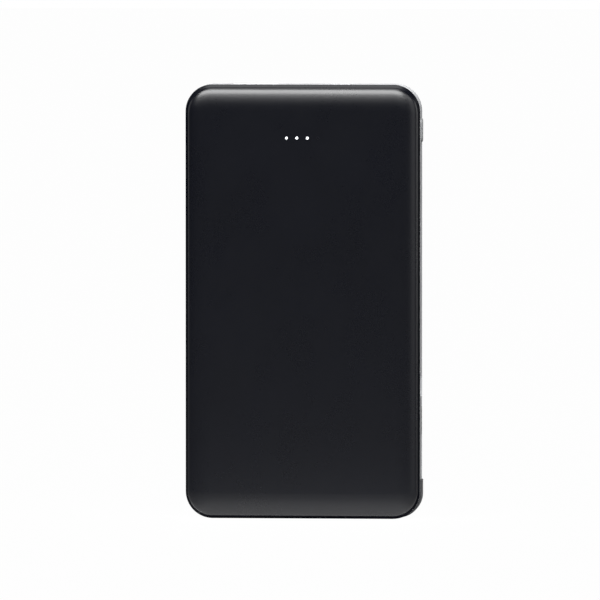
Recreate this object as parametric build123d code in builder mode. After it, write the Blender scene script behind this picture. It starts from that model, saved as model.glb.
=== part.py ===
from build123d import *
import os

os.makedirs("parts", exist_ok=True)

# Power bank, millimetres. X to the right, Z up, the front face looks along -Y.
# Z = 0 is the flat bottom edge it stands on; X = 0 and Y = 0 are the mid planes.

# overall form
WIDTH = 67.6
HEIGHT = 125.0
CORNER_RADIUS = 7.8
FRAME_DEPTH = 9.0
COVER_DEPTH = 3.0

# covers
SKIRT_HEIGHT = 0.2
SLOPE_TOP = 1.0
PANEL_INSET_SIDE = 0.6
PANEL_INSET_END = 0.85
ROLL_REACH = 6.5
COVER_WALL = 1.4
POCKET_INSET = 4.0

# frame
FRAME_WALL = 1.6
SEAM_CHAMFER = 0.12

# status lights
LIGHT_DROP = 15.3
LIGHT_PITCH = 3.0
LIGHT_COUNT = 4
LENS_DIAMETER = 0.8
PIPE_DIAMETER = 1.8
PIPE_FIT = 0.02
BAFFLE_MARGIN = 2.5
BAFFLE_HEIGHT = 5.0
CHIP_LIGHT_SIZE = 1.6
CHIP_LIGHT_THICKNESS = 0.7

# side button and its switch
BUTTON_DROP = 13.2
BUTTON_LENGTH = 6.8
BUTTON_WIDTH = 3.2
BUTTON_PROUD = 0.5
BUTTON_TRAVEL = 0.25
BUTTON_GAP = 0.15
FLANGE_MARGIN = 0.9
FLANGE_THICKNESS = 0.8
FLANGE_GAP = 0.05
STEM_SIZE = 2.0
SWITCH_LENGTH = 3.5
SWITCH_WIDTH = 6.0
SWITCH_DEPTH = 3.4
PLUNGER_DIAMETER = 1.8
PLUNGER_REACH = 1.4
PLUNGER_FIT = 0.05

# circuit board
BOARD_THICKNESS = 1.2
BOARD_FRONT = 1.0
BOARD_MARGIN_LEFT = 4.8
BOARD_MARGIN_RIGHT = 6.6
BOARD_DROP = 2.6
BOARD_LENGTH = 23.9
BOARD_GAP = 0.25
SCREW_DIAMETER = 1.6
SCREW_LENGTH = 4.4
SCREW_HEAD_DIAMETER = 3.0
SCREW_HEAD_HEIGHT = 1.0
SCREW_FIT = 0.02
BOSS_DIAMETER = 4.4
SCREW_INSET = 4.0
SCREW_INSET_RIGHT = 5.7
SCREW_LIFT = 3.5

# sockets in the top edge
PORT_A_X = -14.0
PORT_A_WIDTH = 13.1
PORT_A_THICKNESS = 5.7
PORT_A_LENGTH = 14.0
PORT_A_TONGUE_WIDTH = 11.1
PORT_A_TONGUE_THICKNESS = 1.84
PORT_A_TONGUE_LENGTH = 9.0
PORT_C_X = 10.0
PORT_C_WIDTH = 8.94
PORT_C_THICKNESS = 3.26
PORT_C_LENGTH = 7.5
PORT_C_TONGUE_WIDTH = 6.7
PORT_C_TONGUE_THICKNESS = 0.7
PORT_C_TONGUE_LENGTH = 5.2
PORT_SHEET = 0.3
PORT_SINK = 0.3
PORT_GAP = 0.15
TONGUE_BASE = 1.5

# cells
CELL_MARGIN_LEFT = 4.8
CELL_MARGIN_RIGHT = 6.8
CELL_BOTTOM = 9.0
CELL_DROP = 30.0
PAD_THICKNESS = 0.8
CELL_EDGE = 1.6
TAPE_THICKNESS = 0.2
TAB_WIDTH = 5.0
TAB_THICKNESS = 0.2
TAB_LENGTH = 0.8
TAB_SPREAD = 12.0
GUARD_WIDTH = 34.0
GUARD_THICKNESS = 0.8
WIRE_DIAMETER = 1.2
WIRE_SPREAD = 3.0

# charging lead folded round the lower right corner
LEAD_WIDTH = 7.4
LEAD_THICKNESS = 2.6
LEAD_BEND = 6.8
LEAD_PROUD = 0.45
LEAD_RISE = 0.3
ROOT_SETBACK = 0.4
LEAD_JOINTS = 3
LEAD_SLIT = 0.3
LEAD_GAP = 0.25
GRIP_START = 11.1
GRIP_LENGTH = 24.0
GRIP_THICKNESS = 3.5
GRIP_SINK = 0.05
GRIP_EDGE = 0.6
PLUG_WIDTH = 6.85
PLUG_THICKNESS = 1.8
PLUG_LENGTH = 6.0
PLUG_SHEET = 0.25
BAY_END_GAP = 1.0
BAY_GAP_SIDE = 0.45
BAY_GAP_BOTTOM = 0.5
BAY_WALL = 1.1
BAY_ROUND = 2.9
NAIL_NOTCH_LENGTH = 8.0
NAIL_NOTCH_DEPTH = 1.6
NAIL_NOTCH_HEIGHT = 28.0
ANCHOR_LENGTH = 4.0
RIBBON_THICKNESS = 1.0
RIBBON_WIDTH = 3.0
RIBBON_BEND = 1.3
RIBBON_GAP = 0.1

# worked out from the sizes above
HALF_WIDTH = WIDTH / 2
HALF_FRAME = FRAME_DEPTH / 2
MIDDLE = HEIGHT / 2
FACE = HALF_FRAME + COVER_DEPTH
INSIDE_FACE = FACE - COVER_WALL
INSIDE_WIDTH = WIDTH - 2 * FRAME_WALL
INSIDE_HEIGHT = HEIGHT - 2 * FRAME_WALL
INSIDE_RADIUS = CORNER_RADIUS - FRAME_WALL
PANEL_WIDTH = WIDTH - 2 * PANEL_INSET_SIDE
PANEL_HEIGHT = HEIGHT - 2 * PANEL_INSET_END
PANEL_RADIUS = CORNER_RADIUS - PANEL_INSET_SIDE
LIGHT_HEIGHT = HEIGHT - LIGHT_DROP
BAFFLE_WIDTH = (LIGHT_COUNT - 1) * LIGHT_PITCH + 2 * BAFFLE_MARGIN
BUTTON_HEIGHT = HEIGHT - BUTTON_DROP
BOARD_BACK = BOARD_FRONT + BOARD_THICKNESS
BOARD_LEFT = -HALF_WIDTH + BOARD_MARGIN_LEFT
BOARD_RIGHT = HALF_WIDTH - BOARD_MARGIN_RIGHT
BOARD_TOP = HEIGHT - BOARD_DROP
BOARD_BOTTOM = BOARD_TOP - BOARD_LENGTH
SCREW_HEIGHT = BOARD_BOTTOM + SCREW_LIFT
SCREW_SPOTS = [
    (BOARD_LEFT + SCREW_INSET, SCREW_HEIGHT),
    (BOARD_RIGHT - SCREW_INSET_RIGHT, SCREW_HEIGHT),
]
CELL_WIDTH = WIDTH - CELL_MARGIN_LEFT - CELL_MARGIN_RIGHT
CELL_LENGTH = HEIGHT - CELL_DROP - CELL_BOTTOM
CELL_THICKNESS = INSIDE_FACE - TAPE_THICKNESS / 2 - PAD_THICKNESS
CELL_CENTRE_X = (CELL_MARGIN_LEFT - CELL_MARGIN_RIGHT) / 2
PLUG_TOP = GRIP_START + GRIP_LENGTH + PLUG_LENGTH
BAY_TOP = PLUG_TOP + BAY_END_GAP
BAY_FLOOR_X = HALF_WIDTH - GRIP_SINK - GRIP_THICKNESS - BAY_GAP_SIDE
BAY_FLOOR_BOTTOM = LEAD_RISE + LEAD_THICKNESS + BAY_GAP_BOTTOM
BAY_WALL_X = BAY_FLOOR_X - BAY_WALL
BAY_WALL_Z = BAY_FLOOR_BOTTOM + BAY_WALL
BEND_X = HALF_WIDTH + LEAD_PROUD - LEAD_BEND
BEND_Z = LEAD_RISE + LEAD_BEND
LEAD_ROOT_X = BEND_X - ROOT_SETBACK
ROOT_END = LEAD_ROOT_X - ANCHOR_LENGTH


def face_plane(front, height=0.0):
    """Plane parallel to the front face, drawn about the middle, at this distance in front of mid depth."""
    return Plane(origin=(0, -front, height), x_dir=(1, 0, 0), z_dir=(0, -1, 0))


def edge_plane(x):
    """Plane parallel to the right-hand side; its first axis is Y and its second is Z."""
    return Plane(origin=(x, 0, 0), x_dir=(0, 1, 0), z_dir=(1, 0, 0))


def level(z):
    """Plane parallel to the bottom, at this height."""
    return Plane.XY.offset(z)


def keep(builder, label):
    builder.part.label = label
    export_step(builder.part, "parts/" + label + ".step")


def panel_path(side):
    """Closed rounded outline of the raised panel, on the seam between cover and frame."""
    half_w = PANEL_WIDTH / 2
    half_h = PANEL_HEIGHT / 2
    radius = PANEL_RADIUS
    with BuildLine(face_plane(side * HALF_FRAME, MIDDLE)) as outline:
        right = Line((half_w, 0), (half_w, half_h - radius))
        first = JernArc(right @ 1, right % 1, radius, 90)
        top = Line(first @ 1, (-half_w + radius, half_h))
        second = JernArc(top @ 1, top % 1, radius, 90)
        left = Line(second @ 1, (-half_w, -half_h + radius))
        third = JernArc(left @ 1, left % 1, radius, 90)
        bottom = Line(third @ 1, (half_w - radius, -half_h))
        fourth = JernArc(bottom @ 1, bottom % 1, radius, 90)
        Line(fourth @ 1, right @ 0)
    return outline.wires()[0]


def cover_shell(side):
    """Soft-edged cover whose steep foot slopes in from the frame; side is 1 at the front, -1 at the back."""
    seam = face_plane(side * HALF_FRAME, MIDDLE)
    rise = COVER_DEPTH - SLOPE_TOP
    across = Plane(
        origin=(PANEL_WIDTH / 2, -side * HALF_FRAME, MIDDLE), x_dir=(-1, 0, 0), z_dir=(0, 0, side)
    )
    with BuildPart() as shell:
        with BuildSketch(seam):
            RectangleRounded(WIDTH, HEIGHT, CORNER_RADIUS)
        extrude(amount=side * SKIRT_HEIGHT)
        with BuildSketch(face_plane(side * (HALF_FRAME + SKIRT_HEIGHT), MIDDLE)):
            RectangleRounded(WIDTH, HEIGHT, CORNER_RADIUS)
        with BuildSketch(face_plane(side * (HALF_FRAME + SLOPE_TOP), MIDDLE)):
            RectangleRounded(PANEL_WIDTH, PANEL_HEIGHT, PANEL_RADIUS)
        loft(ruled=True)
        with BuildSketch(seam):
            RectangleRounded(PANEL_WIDTH, PANEL_HEIGHT, PANEL_RADIUS)
        extrude(amount=side * COVER_DEPTH)
        with BuildSketch(across):
            with BuildLine():
                EllipticalCenterArc(
                    (ROLL_REACH, SLOPE_TOP), ROLL_REACH, rise, start_angle=90, arc_size=90
                )
                Polyline(
                    (0, SLOPE_TOP), (-0.2, SLOPE_TOP), (-0.2, COVER_DEPTH + 1),
                    (ROLL_REACH, COVER_DEPTH + 1), (ROLL_REACH, COVER_DEPTH),
                )
            make_face()
        sweep(path=panel_path(side), mode=Mode.SUBTRACT)
        with BuildSketch(seam):
            RectangleRounded(WIDTH - 2 * POCKET_INSET, HEIGHT - 2 * POCKET_INSET, CORNER_RADIUS - POCKET_INSET)
        extrude(amount=side * (COVER_DEPTH - COVER_WALL), mode=Mode.SUBTRACT)
    return shell.part


def lead_angle(number):
    """Angle on the bend, from straight right towards straight down, of one hinge of the lead."""
    return -90 + 90 * (number - 0.5) / LEAD_JOINTS


def lead_slice(start, end):
    """One curved piece of the lead between two angles of the bend."""
    outer = LEAD_BEND
    inner = LEAD_BEND - LEAD_THICKNESS
    with BuildPart() as piece:
        with BuildSketch(face_plane(-LEAD_WIDTH / 2)):
            with BuildLine():
                out = CenterArc((BEND_X, BEND_Z), outer, start, end - start)
                back = CenterArc((BEND_X, BEND_Z), inner, start, end - start)
                Line(out @ 0, back @ 0)
                Line(out @ 1, back @ 1)
            make_face()
        extrude(amount=LEAD_WIDTH)
    return piece.part


# ---------------------------------------------------------------- covers

light_spots = [((n - (LIGHT_COUNT - 1) / 2) * LIGHT_PITCH, LIGHT_HEIGHT) for n in range(LIGHT_COUNT)]

with BuildPart() as front_cover:
    add(cover_shell(1))
    with BuildSketch(Plane.XZ.offset(FACE)):
        with Locations(*light_spots):
            Circle(LENS_DIAMETER / 2 + PIPE_FIT)
    extrude(amount=-COVER_WALL - 1, mode=Mode.SUBTRACT)
keep(front_cover, "front_cover")

with BuildPart() as rear_cover:
    add(cover_shell(-1))
keep(rear_cover, "rear_cover")

for number, spot in enumerate(SCREW_SPOTS, start=1):
    with BuildPart() as board_post:
        with BuildSketch(Plane.XZ.offset(-INSIDE_FACE)):
            with Locations(spot):
                Circle(BOSS_DIAMETER / 2)
        extrude(amount=INSIDE_FACE - BOARD_BACK)
        with BuildSketch(Plane.XZ.offset(-BOARD_BACK)):
            with Locations(spot):
                Circle(SCREW_DIAMETER / 2 + SCREW_FIT)
        extrude(amount=-(SCREW_LENGTH - BOARD_THICKNESS + 0.3), mode=Mode.SUBTRACT)
    keep(board_post, "board_post_" + str(number))

# ---------------------------------------------------------------- frame with sockets, button slot and lead bay

bay_depth = LEAD_WIDTH + 2 * LEAD_GAP
with BuildPart() as mid_frame:
    with BuildSketch(face_plane(-HALF_FRAME, MIDDLE)):
        RectangleRounded(WIDTH, HEIGHT, CORNER_RADIUS)
    extrude(amount=FRAME_DEPTH)
    outer_edges = mid_frame.faces().filter_by(Axis.Y).edges()
    chamfer(outer_edges, SEAM_CHAMFER)
    with BuildSketch(face_plane(-HALF_FRAME, MIDDLE)):
        RectangleRounded(INSIDE_WIDTH, INSIDE_HEIGHT, INSIDE_RADIUS)
        with Locations(((BAY_WALL_X + HALF_WIDTH + 1) / 2, BAY_TOP / 2 - MIDDLE)):
            Rectangle(HALF_WIDTH + 1 - BAY_WALL_X, BAY_TOP + 2 * BAY_WALL, mode=Mode.SUBTRACT)
        with Locations(((ROOT_END - BAY_WALL + HALF_WIDTH) / 2, BAY_WALL_Z / 2 - MIDDLE)):
            Rectangle(HALF_WIDTH - ROOT_END + BAY_WALL, BAY_WALL_Z, mode=Mode.SUBTRACT)
        with BuildLine():
            round_x = BAY_WALL_X - BAY_ROUND + BAY_WALL
            round_z = BAY_WALL_Z + BAY_ROUND - BAY_WALL - MIDDLE
            curve = CenterArc((round_x, round_z), BAY_ROUND - BAY_WALL, 270, 90)
            Polyline(curve @ 0, (BAY_WALL_X + 0.01, (curve @ 0).Y), curve @ 1)
        make_face(mode=Mode.SUBTRACT)
    extrude(amount=FRAME_DEPTH, mode=Mode.SUBTRACT)
    with BuildSketch(face_plane(-bay_depth / 2, 0)):
        with BuildLine():
            floor_round = CenterArc((BAY_FLOOR_X - BAY_ROUND, BAY_FLOOR_BOTTOM + BAY_ROUND), BAY_ROUND, 270, 90)
            Polyline(
                floor_round @ 0, (ROOT_END, BAY_FLOOR_BOTTOM), (ROOT_END, -1),
                (HALF_WIDTH + 1, -1), (HALF_WIDTH + 1, BAY_TOP), (BAY_FLOOR_X, BAY_TOP), floor_round @ 1,
            )
        make_face()
    extrude(amount=bay_depth, mode=Mode.SUBTRACT)
    with BuildSketch(face_plane(-HALF_FRAME, 0)):
        with Locations((HALF_WIDTH, NAIL_NOTCH_HEIGHT)):
            Ellipse(NAIL_NOTCH_DEPTH, NAIL_NOTCH_LENGTH / 2)
    extrude(amount=HALF_FRAME - bay_depth / 2, mode=Mode.SUBTRACT)
    with BuildSketch(edge_plane(HALF_WIDTH - FRAME_WALL)):
        with Locations((0, BUTTON_HEIGHT)):
            RectangleRounded(
                BUTTON_WIDTH + 2 * BUTTON_GAP, BUTTON_LENGTH + 2 * BUTTON_GAP, BUTTON_WIDTH / 2 + BUTTON_GAP - 0.01
            )
    extrude(amount=FRAME_WALL + 1, mode=Mode.SUBTRACT)
    with BuildSketch(level(HEIGHT - FRAME_WALL)):
        with Locations((PORT_A_X, 0)):
            RectangleRounded(PORT_A_WIDTH + 2 * PORT_GAP, PORT_A_THICKNESS + 2 * PORT_GAP, 0.5)
        with Locations((PORT_C_X, 0)):
            RectangleRounded(
                PORT_C_WIDTH + 2 * PORT_GAP, PORT_C_THICKNESS + 2 * PORT_GAP, PORT_C_THICKNESS / 2 + PORT_GAP - 0.01
            )
    extrude(amount=FRAME_WALL + 1, mode=Mode.SUBTRACT)
    with BuildSketch(level(BAY_FLOOR_BOTTOM)):
        with Locations((ROOT_END + RIBBON_THICKNESS, 0)):
            Rectangle(RIBBON_THICKNESS + 2 * RIBBON_GAP, RIBBON_WIDTH + 2 * RIBBON_GAP)
    extrude(amount=BAY_WALL, mode=Mode.SUBTRACT)
keep(mid_frame, "mid_frame")

# ---------------------------------------------------------------- status lights

baffle_front = INSIDE_FACE - 0.05
with BuildPart() as light_baffle:
    with BuildSketch(Plane.XZ.offset(-BOARD_FRONT)):
        with Locations((0, LIGHT_HEIGHT)):
            Rectangle(BAFFLE_WIDTH, BAFFLE_HEIGHT)
    extrude(amount=BOARD_FRONT + baffle_front)
    with BuildSketch(Plane.XZ.offset(-BOARD_FRONT)):
        with Locations(*light_spots):
            Circle(PIPE_DIAMETER / 2 + PIPE_FIT)
    extrude(amount=BOARD_FRONT + baffle_front, mode=Mode.SUBTRACT)
    with BuildSketch(Plane.XZ.offset(-BOARD_FRONT)):
        with Locations(*light_spots):
            Rectangle(CHIP_LIGHT_SIZE + 0.3, CHIP_LIGHT_SIZE + 0.3)
    extrude(amount=CHIP_LIGHT_THICKNESS + 0.3, mode=Mode.SUBTRACT)
keep(light_baffle, "light_baffle")

for number, spot in enumerate(light_spots, start=1):
    with BuildPart() as light_pipe:
        with BuildSketch(Plane.XZ.offset(-BOARD_FRONT + CHIP_LIGHT_THICKNESS + 0.3)):
            with Locations(spot):
                Circle(PIPE_DIAMETER / 2)
        extrude(amount=baffle_front + BOARD_FRONT - CHIP_LIGHT_THICKNESS - 0.3)
        with BuildSketch(Plane.XZ.offset(baffle_front)):
            with Locations(spot):
                Circle(LENS_DIAMETER / 2)
        extrude(amount=FACE - baffle_front)
    keep(light_pipe, "light_pipe_" + str(number))
    with BuildPart() as light_chip:
        with BuildSketch(Plane.XZ.offset(-BOARD_FRONT)):
            with Locations(spot):
                Rectangle(CHIP_LIGHT_SIZE, CHIP_LIGHT_SIZE)
        extrude(amount=CHIP_LIGHT_THICKNESS)
    keep(light_chip, "light_chip_" + str(number))

# ---------------------------------------------------------------- side button and switch

flange_outside = HALF_WIDTH - FRAME_WALL - FLANGE_GAP
flange_inside = flange_outside - FLANGE_THICKNESS
switch_left = BOARD_RIGHT - SWITCH_LENGTH + 0.8
switch_right = switch_left + SWITCH_LENGTH
plunger_tip = switch_right + PLUNGER_REACH
with BuildPart() as side_button:
    with BuildSketch(edge_plane(flange_outside)):
        with Locations((0, BUTTON_HEIGHT)):
            RectangleRounded(BUTTON_WIDTH, BUTTON_LENGTH, BUTTON_WIDTH / 2 - 0.01)
    extrude(amount=HALF_WIDTH + BUTTON_PROUD - flange_outside)
    fillet(side_button.faces().sort_by(Axis.X)[-1].edges(), 0.25)
    with BuildSketch(edge_plane(flange_inside)):
        with Locations((0, BUTTON_HEIGHT)):
            RectangleRounded(BUTTON_WIDTH + 2 * FLANGE_MARGIN, BUTTON_LENGTH + 2 * FLANGE_MARGIN, 1.0)
    extrude(amount=FLANGE_THICKNESS)
    with BuildSketch(edge_plane(plunger_tip)):
        with Locations((0, BUTTON_HEIGHT)):
            Rectangle(STEM_SIZE, STEM_SIZE)
    extrude(amount=flange_inside - plunger_tip)
keep(side_button, "side_button")

with BuildPart() as switch_plunger:
    with BuildSketch(edge_plane(switch_right - 1.0)):
        with Locations((0, BUTTON_HEIGHT)):
            Circle(PLUNGER_DIAMETER / 2)
    extrude(amount=plunger_tip - switch_right + 1.0)
keep(switch_plunger, "switch_plunger")

with BuildPart() as switch_body:
    with BuildSketch(edge_plane(switch_left)):
        with Locations((0, BUTTON_HEIGHT)):
            Rectangle(SWITCH_DEPTH, SWITCH_WIDTH)
    extrude(amount=SWITCH_LENGTH)
    with BuildSketch(edge_plane(switch_right)):
        with Locations((0, BUTTON_HEIGHT)):
            Circle(PLUNGER_DIAMETER / 2 + PLUNGER_FIT)
    extrude(amount=-1.0 - BUTTON_TRAVEL - 0.1, mode=Mode.SUBTRACT)
keep(switch_body, "switch_body")

# ---------------------------------------------------------------- circuit board and what is on it

board_mid_x = (BOARD_LEFT + BOARD_RIGHT) / 2
board_mid_z = (BOARD_BOTTOM + BOARD_TOP) / 2
port_top = HEIGHT - PORT_SINK
with BuildPart() as circuit_board:
    with BuildSketch(Plane.XZ.offset(-BOARD_BACK)):
        with Locations((board_mid_x, board_mid_z)):
            Rectangle(BOARD_RIGHT - BOARD_LEFT, BOARD_TOP - BOARD_BOTTOM)
        with Locations((PORT_A_X, port_top - PORT_A_LENGTH / 2)):
            Rectangle(PORT_A_WIDTH + 2 * BOARD_GAP, PORT_A_LENGTH + 2 * BOARD_GAP, mode=Mode.SUBTRACT)
        with Locations((PORT_C_X, port_top - PORT_C_LENGTH / 2)):
            Rectangle(PORT_C_WIDTH + 2 * BOARD_GAP, PORT_C_LENGTH + 2 * BOARD_GAP, mode=Mode.SUBTRACT)
        with Locations((switch_left + SWITCH_LENGTH, BUTTON_HEIGHT)):
            Rectangle(
                2 * (SWITCH_LENGTH + BOARD_GAP), SWITCH_WIDTH + 2 * BOARD_GAP + 2 * FLANGE_MARGIN, mode=Mode.SUBTRACT
            )
        with Locations(*SCREW_SPOTS):
            Circle(SCREW_DIAMETER / 2 + SCREW_FIT, mode=Mode.SUBTRACT)
    extrude(amount=BOARD_THICKNESS)
keep(circuit_board, "circuit_board")

for number, spot in enumerate(SCREW_SPOTS, start=1):
    with BuildPart() as board_screw:
        with BuildSketch(Plane.XZ.offset(-BOARD_FRONT)):
            with Locations(spot):
                Circle(SCREW_HEAD_DIAMETER / 2)
        extrude(amount=SCREW_HEAD_HEIGHT)
        fillet(board_screw.faces().sort_by(Axis.Y)[0].edges(), 0.35)
        with BuildSketch(Plane.XZ.offset(-BOARD_FRONT)):
            with Locations(spot):
                Circle(SCREW_DIAMETER / 2)
        extrude(amount=-SCREW_LENGTH)
        with BuildSketch(Plane.XZ.offset(-BOARD_FRONT + SCREW_HEAD_HEIGHT)):
            with Locations(spot):
                Rectangle(1.7, 0.4)
                Rectangle(0.4, 1.7)
        extrude(amount=-0.5, mode=Mode.SUBTRACT)
    keep(board_screw, "board_screw_" + str(number))

board_parts = [
    ("power_inductor", 0.0, 19.8, 7.0, 6.4, 4.2, 1.0),
    ("boost_controller", -11.0, 18.9, 5.0, 5.0, 0.9, 0.2),
    ("charge_controller", 9.5, 19.4, 4.0, 4.0, 0.9, 0.2),
    ("power_transistor", -18.5, 18.9, 3.4, 3.4, 1.0, 0.2),
    ("output_capacitor", 14.0, 10.4, 3.2, 4.6, 1.9, 0.3),
    ("input_capacitor", -3.2, 5.4, 3.2, 4.6, 1.9, 0.3),
]
for label, x, drop, wide, high, tall, rounding in board_parts:
    with BuildPart() as board_part:
        with BuildSketch(Plane.XZ.offset(-BOARD_FRONT)):
            with Locations((x, BOARD_TOP - drop)):
                RectangleRounded(wide, high, rounding)
        extrude(amount=tall)
    keep(board_part, label)


def socket_shell(x, wide, thick, length, rounding):
    """Folded metal shell of a socket, open at the top."""
    with BuildPart() as shell:
        with BuildSketch(level(port_top - length)):
            with Locations((x, 0)):
                RectangleRounded(wide, thick, rounding)
        extrude(amount=length)
        with BuildSketch(level(port_top - length + PORT_SHEET)):
            with Locations((x, 0)):
                RectangleRounded(wide - 2 * PORT_SHEET, thick - 2 * PORT_SHEET, rounding - PORT_SHEET)
        extrude(amount=length, mode=Mode.SUBTRACT)
    return shell.part


def socket_tongue(x, y, wide, thick, reach, block_wide, block_thick, bottom):
    """Moulded block at the foot of a socket with the tongue that stands up from it."""
    with BuildPart() as tongue:
        with BuildSketch(level(bottom)):
            with Locations((x, 0)):
                Rectangle(block_wide, block_thick)
        extrude(amount=TONGUE_BASE)
        with BuildSketch(level(bottom + TONGUE_BASE)):
            with Locations((x, y)):
                Rectangle(wide, thick)
        extrude(amount=reach)
    return tongue.part


port_a_foot = port_top - PORT_A_LENGTH + PORT_SHEET
port_a_tongue_y = 1.0
with BuildPart() as usb_a_shell:
    add(socket_shell(PORT_A_X, PORT_A_WIDTH, PORT_A_THICKNESS, PORT_A_LENGTH, 0.5))
keep(usb_a_shell, "usb_a_shell")
with BuildPart() as usb_a_tongue:
    add(socket_tongue(
        PORT_A_X, port_a_tongue_y, PORT_A_TONGUE_WIDTH, PORT_A_TONGUE_THICKNESS, PORT_A_TONGUE_LENGTH,
        PORT_A_WIDTH - 2 * PORT_SHEET - 0.4, PORT_A_THICKNESS - 2 * PORT_SHEET - 0.04, port_a_foot,
    ))
keep(usb_a_tongue, "usb_a_tongue")
with BuildPart() as usb_a_contacts:
    contact_face = port_a_tongue_y - PORT_A_TONGUE_THICKNESS / 2
    with BuildSketch(level(port_a_foot + TONGUE_BASE)):
        for step in (-3.5, -1.0, 1.0, 3.5):
            with Locations((PORT_A_X + step, contact_face - 0.1)):
                Rectangle(1.0, 0.2)
    extrude(amount=PORT_A_TONGUE_LENGTH - 1.0)
keep(usb_a_contacts, "usb_a_contacts")

port_c_foot = port_top - PORT_C_LENGTH + PORT_SHEET
with BuildPart() as usb_c_shell:
    add(socket_shell(PORT_C_X, PORT_C_WIDTH, PORT_C_THICKNESS, PORT_C_LENGTH, PORT_C_THICKNESS / 2 - 0.01))
keep(usb_c_shell, "usb_c_shell")
with BuildPart() as usb_c_tongue:
    add(socket_tongue(
        PORT_C_X, 0, PORT_C_TONGUE_WIDTH, PORT_C_TONGUE_THICKNESS, PORT_C_TONGUE_LENGTH - TONGUE_BASE,
        PORT_C_TONGUE_WIDTH, PORT_C_THICKNESS - 2 * PORT_SHEET - 0.2, port_c_foot,
    ))
keep(usb_c_tongue, "usb_c_tongue")
with BuildPart() as usb_c_contacts:
    with BuildSketch(level(port_c_foot + TONGUE_BASE)):
        for step in range(-5, 6, 2):
            for side in (-1, 1):
                with Locations((PORT_C_X + 0.5 * step, side * (PORT_C_TONGUE_THICKNESS / 2 + 0.04))):
                    Rectangle(0.3, 0.08)
    extrude(amount=PORT_C_TONGUE_LENGTH - TONGUE_BASE - 0.6)
keep(usb_c_contacts, "usb_c_contacts")

# ---------------------------------------------------------------- cells, their guard board and wires

cell_mid_z = CELL_BOTTOM + CELL_LENGTH / 2
cell_top = CELL_BOTTOM + CELL_LENGTH


def cell(near, far):
    """Pouch cell between two distances in front of mid depth."""
    with BuildPart() as pouch:
        with BuildSketch(face_plane(near, cell_mid_z)):
            with Locations((CELL_CENTRE_X, 0)):
                RectangleRounded(CELL_WIDTH, CELL_LENGTH, 2.0)
        extrude(amount=far - near)
        fillet(pouch.faces().filter_by(Axis.Y).edges(), CELL_EDGE)
    return pouch.part


half_tape = TAPE_THICKNESS / 2
with BuildPart() as cell_front:
    add(cell(half_tape, half_tape + CELL_THICKNESS))
keep(cell_front, "cell_front")
with BuildPart() as cell_rear:
    add(cell(-half_tape - CELL_THICKNESS, -half_tape))
keep(cell_rear, "cell_rear")
with BuildPart() as cell_tape:
    with BuildSketch(face_plane(-half_tape, cell_mid_z)):
        with Locations((CELL_CENTRE_X, 0)):
            Rectangle(CELL_WIDTH - 10, CELL_LENGTH - 10)
    extrude(amount=TAPE_THICKNESS)
keep(cell_tape, "cell_tape")

for label, side in (("cell_pad_front", 1), ("cell_pad_rear", -1)):
    with BuildPart() as cell_pad:
        with BuildSketch(face_plane(side * (INSIDE_FACE - PAD_THICKNESS), cell_mid_z)):
            with Locations((CELL_CENTRE_X, 0)):
                Rectangle(CELL_WIDTH - 12, CELL_LENGTH - 16)
        extrude(amount=side * PAD_THICKNESS)
    keep(cell_pad, label)

with BuildPart() as cell_tabs:
    with BuildSketch(level(cell_top)):
        for side in (-1, 1):
            for step in (-1, 1):
                with Locations((CELL_CENTRE_X + step * TAB_SPREAD, side * (half_tape + CELL_THICKNESS / 2) * 0.7)):
                    Rectangle(TAB_WIDTH, TAB_THICKNESS)
    extrude(amount=TAB_LENGTH)
keep(cell_tabs, "cell_tabs")

guard_bottom = cell_top + TAB_LENGTH
with BuildPart() as guard_board:
    with BuildSketch(level(guard_bottom)):
        with Locations((CELL_CENTRE_X, 0)):
            Rectangle(GUARD_WIDTH, 5.0)
    extrude(amount=GUARD_THICKNESS)
keep(guard_board, "guard_board")

wire_start = guard_bottom + GUARD_THICKNESS
wire_front = -BOARD_FRONT + WIRE_DIAMETER / 2
for label, x in (("wire_red", -6.5 - WIRE_SPREAD / 2), ("wire_black", -6.5 + WIRE_SPREAD / 2)):
    with BuildPart() as wire:
        with BuildLine(Plane.XZ.offset(wire_front)) as wire_path:
            rise = Line((x, wire_start), (x, wire_start + 0.8))
            out = JernArc(rise @ 1, rise % 1, 1.6, 40)
            back = JernArc(out @ 1, out % 1, 1.6, -40)
            Line(back @ 1, back @ 1 + Vector(0, 0, 1.4))
        with BuildSketch(level(wire_start)):
            with Locations((x, -wire_front)):
                Circle(WIRE_DIAMETER / 2)
        sweep(path=wire_path.wires()[0])
    keep(wire, label)

# ---------------------------------------------------------------- charging lead

slit_angle = LEAD_SLIT / LEAD_BEND * 57.3
with BuildPart() as lead_anchor:
    with BuildSketch(face_plane(-LEAD_WIDTH / 2)):
        with BuildLine():
            Polyline(
                (ROOT_END + LEAD_GAP, LEAD_RISE), (BEND_X, LEAD_RISE), (BEND_X, LEAD_RISE + LEAD_THICKNESS),
                (LEAD_ROOT_X, LEAD_RISE + LEAD_THICKNESS), (LEAD_ROOT_X, BAY_FLOOR_BOTTOM),
                (ROOT_END + LEAD_GAP, BAY_FLOOR_BOTTOM), close=True,
            )
        make_face()
    extrude(amount=LEAD_WIDTH)
    add(lead_slice(-90, lead_angle(1) - slit_angle / 2))
keep(lead_anchor, "lead_anchor")

for number in range(1, LEAD_JOINTS):
    with BuildPart() as lead_link:
        add(lead_slice(lead_angle(number) + slit_angle / 2, lead_angle(number + 1) - slit_angle / 2))
    keep(lead_link, "lead_link_" + str(number))

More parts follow.
